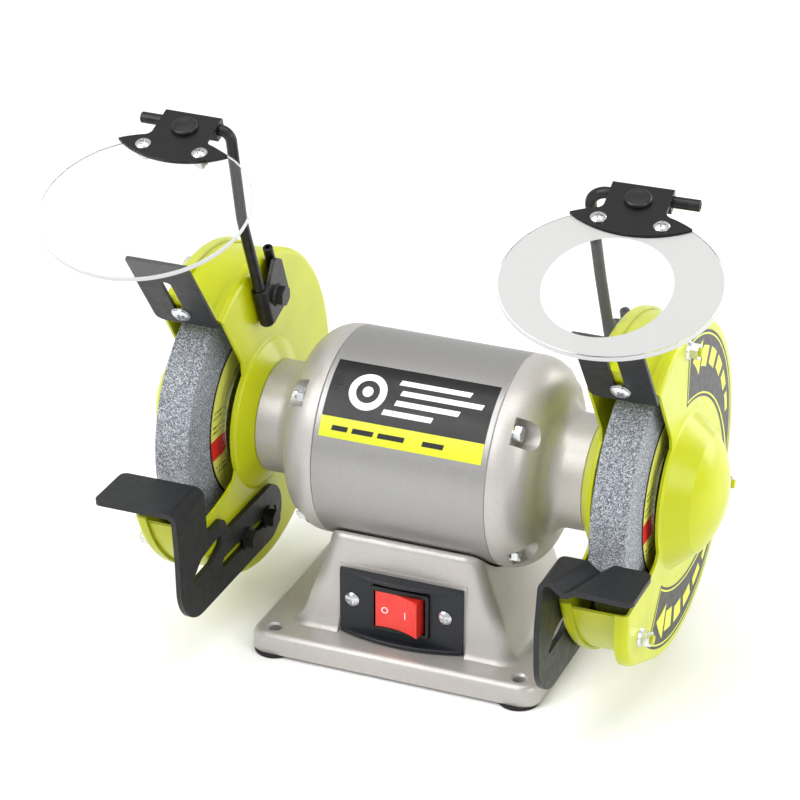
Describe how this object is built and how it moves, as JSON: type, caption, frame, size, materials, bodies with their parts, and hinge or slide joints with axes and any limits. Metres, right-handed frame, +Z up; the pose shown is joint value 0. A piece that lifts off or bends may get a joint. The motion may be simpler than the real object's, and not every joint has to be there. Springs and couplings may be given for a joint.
{
  "type": "bench grinder",
  "caption": "Twin-wheel bench grinder on a cast pedestal with guards, adjustable tool rests, spark arrestors, round eye shields and a rocker switch.",
  "frame": {"origin": "centre of the four base bolt holes, on the bench plane under the rubber feet", "axes": "+Z up, +X along the spindle to the operator's right, -Y towards the operator"},
  "size_m": [0.3527, 0.2545, 0.3017],
  "materials": {
    "silver_paint": "satin metallic",
    "lime_paint": "gloss powder coat",
    "charcoal_paint": "fine textured powder coat",
    "black_paint": "satin",
    "black_steel": "black oxide",
    "zinc_steel": "bright zinc plate",
    "bright_steel": "ground",
    "lamination_steel": "stamped laminations",
    "cast_aluminium": "as cast",
    "copper_windings": "enamelled copper wire",
    "brass_tabs": "plain",
    "abrasive": "coarse vitrified grain",
    "blotter_paper": "printed card",
    "label_film": "printed film",
    "switch_plate_plastic": "satin",
    "black_plastic": "satin",
    "red_plastic": "gloss",
    "light_plastic": "plain",
    "black_rubber": "matt",
    "clear_lens": "clear polycarbonate"
  },
  "bodies": {
    "root": {"base_casting": "silver_paint", "base_cover_plate": "zinc_steel", "base_plate_screws": "zinc_steel", "rubber_feet": "black_rubber", "cable_gland": "black_plastic", "saddle_screws": "zinc_steel", "switch_plate": "switch_plate_plastic", "switch_housing": "black_plastic", "switch_screws": "zinc_steel", "switch_terminals": "brass_tabs", "run_capacitor": "light_plastic", "terminal_block": "light_plastic", "motor_shell": "silver_paint", "left_end_bell": "silver_paint", "right_end_bell": "silver_paint", "end_bell_screws": "zinc_steel", "stator_core": "lamination_steel", "stator_windings": "copper_windings", "bearing_outer_rings": "bright_steel", "wave_washer": "bright_steel", "name_label": "label_film", "left_inner_guard": "lime_paint", "right_inner_guard": "lime_paint", "left_guard_band": "lime_paint", "right_guard_band": "lime_paint", "left_outer_guard": "lime_paint", "right_outer_guard": "lime_paint", "guard_studs": "lime_paint", "guard_nuts": "zinc_steel", "guard_mount_screws": "zinc_steel", "arrestor_screws": "zinc_steel", "rest_bolts": "black_steel", "shield_clamps": "black_steel", "clamp_bolts": "black_steel", "clamp_pins": "black_steel"},
    "spindle_assembly": {"spindle": "bright_steel", "rotor_core": "lamination_steel", "rotor_cage": "cast_aluminium", "bearing_inner_rings": "bright_steel", "bearing_balls": "bright_steel", "left_wheel": "abrasive", "right_wheel": "abrasive", "wheel_blotters": "blotter_paper", "wheel_flanges": "zinc_steel", "spindle_nuts": "zinc_steel"},
    "rocker": {"switch_rocker": "red_plastic"},
    "left_rest": {"left_tool_rest": "charcoal_paint"},
    "left_arrestor": {"left_spark_arrestor": "charcoal_paint"},
    "left_rod": {"left_shield_rod": "black_steel"},
    "left_shield": {"left_shield_bracket": "black_paint", "left_shield_lens": "clear_lens", "left_shield_screws": "zinc_steel", "left_shield_button": "black_plastic"},
    "right_rest": {"right_tool_rest": "charcoal_paint"},
    "right_arrestor": {"right_spark_arrestor": "charcoal_paint"},
    "right_rod": {"right_shield_rod": "black_steel"},
    "right_shield": {"right_shield_bracket": "black_paint", "right_shield_lens": "clear_lens", "right_shield_screws": "zinc_steel", "right_shield_button": "black_plastic"}
  },
  "joints": [
    {"name": "spindle_spin", "type": "hinge", "parent": "root", "child": "spindle_assembly", "pos_m": [0, 0, 0.1125], "axis": [1, 0, 0], "continuous": true},
    {"name": "rocker_press", "type": "hinge", "parent": "root", "child": "rocker", "pos_m": [-0.0003, -0.0493, 0.0345], "axis": [0, 0, 1], "range_deg": [0, 22]},
    {"name": "left_rest_slide", "type": "slide", "parent": "root", "child": "left_rest", "axis": [0, 1, 0], "range_m": [-0.008, 0.009]},
    {"name": "left_arrestor_slide", "type": "slide", "parent": "root", "child": "left_arrestor", "axis": [0, -0.5828, 0.8126], "range_m": [-0.012, 0.0025]},
    {"name": "left_rod_slide", "type": "slide", "parent": "root", "child": "left_rod", "axis": [0, -0.377, 0.9262], "range_m": [0, 0.015]},
    {"name": "left_shield_tilt", "type": "hinge", "parent": "left_rod", "child": "left_shield", "pos_m": [-0.1185, -0.0455, 0.2956], "axis": [0.9992, 0.0283, -0.0276], "range_deg": [-60, 20]},
    {"name": "right_rest_slide", "type": "slide", "parent": "root", "child": "right_rest", "axis": [0, 1, 0], "range_m": [-0.011, 0.006]},
    {"name": "right_arrestor_slide", "type": "slide", "parent": "root", "child": "right_arrestor", "axis": [0, -0.5828, 0.8126], "range_m": [-0.012, 0.0025]},
    {"name": "right_rod_slide", "type": "slide", "parent": "root", "child": "right_rod", "axis": [0, -0.4082, 0.9129], "range_m": [0, 0.015]},
    {"name": "right_shield_tilt", "type": "hinge", "parent": "right_rod", "child": "right_shield", "pos_m": [0.1238, -0.041, 0.2915], "axis": [0.9948, 0.0956, -0.0338], "range_deg": [-60, 20]}
  ]
}
